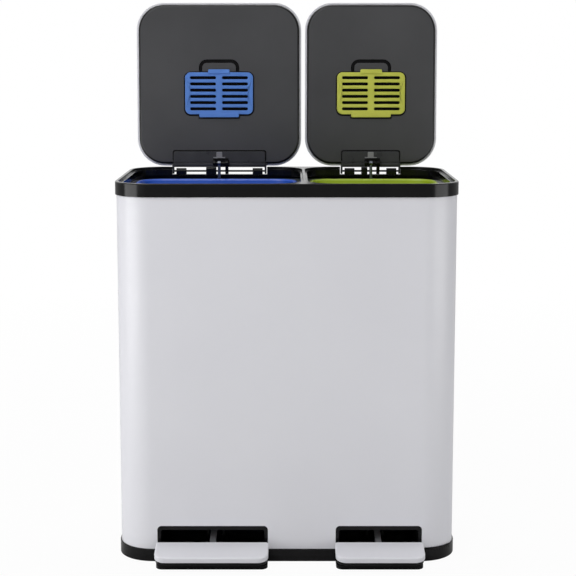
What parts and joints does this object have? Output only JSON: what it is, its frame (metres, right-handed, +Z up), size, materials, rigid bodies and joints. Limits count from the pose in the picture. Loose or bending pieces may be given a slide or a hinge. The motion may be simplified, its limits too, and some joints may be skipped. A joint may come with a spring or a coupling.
{
  "type": "double recycling bin",
  "caption": "Free-standing steel recycling bin with unequal lift-out buckets, each under its own pedal-opened lid.",
  "frame": {"origin": "on the floor, under the middle of the body", "axes": "+Z up; the pedals and the front face -Y; +X points to the narrow compartment"},
  "size_m": [0.5, 0.3506, 0.82],
  "materials": {
    "white_enamel": "white enamel, satin to gloss",
    "black_plastic": "black moulded plastic, fine satin",
    "lid_plastic": "charcoal moulded plastic, satin",
    "bucket_blue": "blue moulded plastic, satin",
    "bucket_green": "lime green moulded plastic, satin",
    "hinge_metal": "black lacquered steel",
    "pin_steel": "drawn steel wire",
    "clip_plastic": "pale grey moulded plastic",
    "lever_grey": "grey moulded plastic",
    "filter_blue": "light blue moulded plastic, satin",
    "filter_green": "lime moulded plastic, satin",
    "filter_felt": "black carbon felt",
    "foot_rubber": "black rubber"
  },
  "bodies": {
    "body": {"outer_shell": "white_enamel", "base": "black_plastic", "base_pads": "foot_rubber", "top_frame": "black_plastic", "bucket_deck": "black_plastic", "left_hinge_pin": "pin_steel", "left_damper": "black_plastic", "left_bucket": "bucket_blue", "left_pedal_surround": "black_plastic", "left_pedal_bracket": "black_plastic", "left_pedal_shaft": "pin_steel", "left_rod_guide": "black_plastic", "right_hinge_pin": "pin_steel", "right_damper": "black_plastic", "right_bucket": "bucket_green", "right_pedal_surround": "black_plastic", "right_pedal_bracket": "black_plastic", "right_pedal_shaft": "pin_steel", "right_rod_guide": "black_plastic"},
    "left_lid": {"left_lid_skin": "white_enamel", "left_lid_panel": "lid_plastic", "left_hinge_plate": "hinge_metal", "left_crank": "black_plastic", "left_clip": "clip_plastic", "left_filter_pad": "filter_felt"},
    "left_filter_door": {"left_filter_cover": "filter_blue"},
    "left_rod": {"left_push_rod": "pin_steel"},
    "left_pedal": {"left_pedal_plate": "white_enamel", "left_pedal_tray": "black_plastic", "left_pedal_lever": "lever_grey"},
    "right_lid": {"right_lid_skin": "white_enamel", "right_lid_panel": "lid_plastic", "right_hinge_plate": "hinge_metal", "right_crank": "black_plastic", "right_clip": "clip_plastic", "right_filter_pad": "filter_felt"},
    "right_filter_door": {"right_filter_cover": "filter_green"},
    "right_rod": {"right_push_rod": "pin_steel"},
    "right_pedal": {"right_pedal_plate": "white_enamel", "right_pedal_tray": "black_plastic", "right_pedal_lever": "lever_grey"}
  },
  "joints": [
    {"name": "left_lid_hinge", "type": "hinge", "parent": "body", "child": "left_lid", "pos_m": [-0.109, 0.133, 0.5513], "axis": [1, 0, 0], "range_deg": [0, 92]},
    {"name": "left_filter_hinge", "type": "hinge", "parent": "left_lid", "child": "left_filter_door", "pos_m": [-0.109, 0.13179, 0.6399], "axis": [1, 0, 0], "range_deg": [0, 80]},
    {"name": "left_rod_pivot", "type": "hinge", "parent": "left_lid", "child": "left_rod", "pos_m": [-0.109, 0.12326, 0.56465], "axis": [1, 0, 0], "range_deg": [-92, 0]},
    {"name": "left_pedal_pivot", "type": "hinge", "parent": "body", "child": "left_pedal", "pos_m": [-0.109, -0.035, 0.0395], "axis": [1, 0, 0], "range_deg": [-8.47, 0]},
    {"name": "right_lid_hinge", "type": "hinge", "parent": "body", "child": "right_lid", "pos_m": [0.135, 0.133, 0.5513], "axis": [1, 0, 0], "range_deg": [0, 92]},
    {"name": "right_filter_hinge", "type": "hinge", "parent": "right_lid", "child": "right_filter_door", "pos_m": [0.135, 0.13179, 0.6399], "axis": [1, 0, 0], "range_deg": [0, 80]},
    {"name": "right_rod_pivot", "type": "hinge", "parent": "right_lid", "child": "right_rod", "pos_m": [0.135, 0.12326, 0.56465], "axis": [1, 0, 0], "range_deg": [-92, 0]},
    {"name": "right_pedal_pivot", "type": "hinge", "parent": "body", "child": "right_pedal", "pos_m": [0.135, -0.035, 0.0395], "axis": [1, 0, 0], "range_deg": [-8.47, 0]}
  ],
  "couplings": [
    {"joint": "left_rod_pivot", "follows": "left_lid_hinge", "ratio": -1},
    {"joint": "left_pedal_pivot", "follows": "left_lid_hinge", "ratio": -0.091991},
    {"joint": "right_rod_pivot", "follows": "right_lid_hinge", "ratio": -1},
    {"joint": "right_pedal_pivot", "follows": "right_lid_hinge", "ratio": -0.091991}
  ]
}
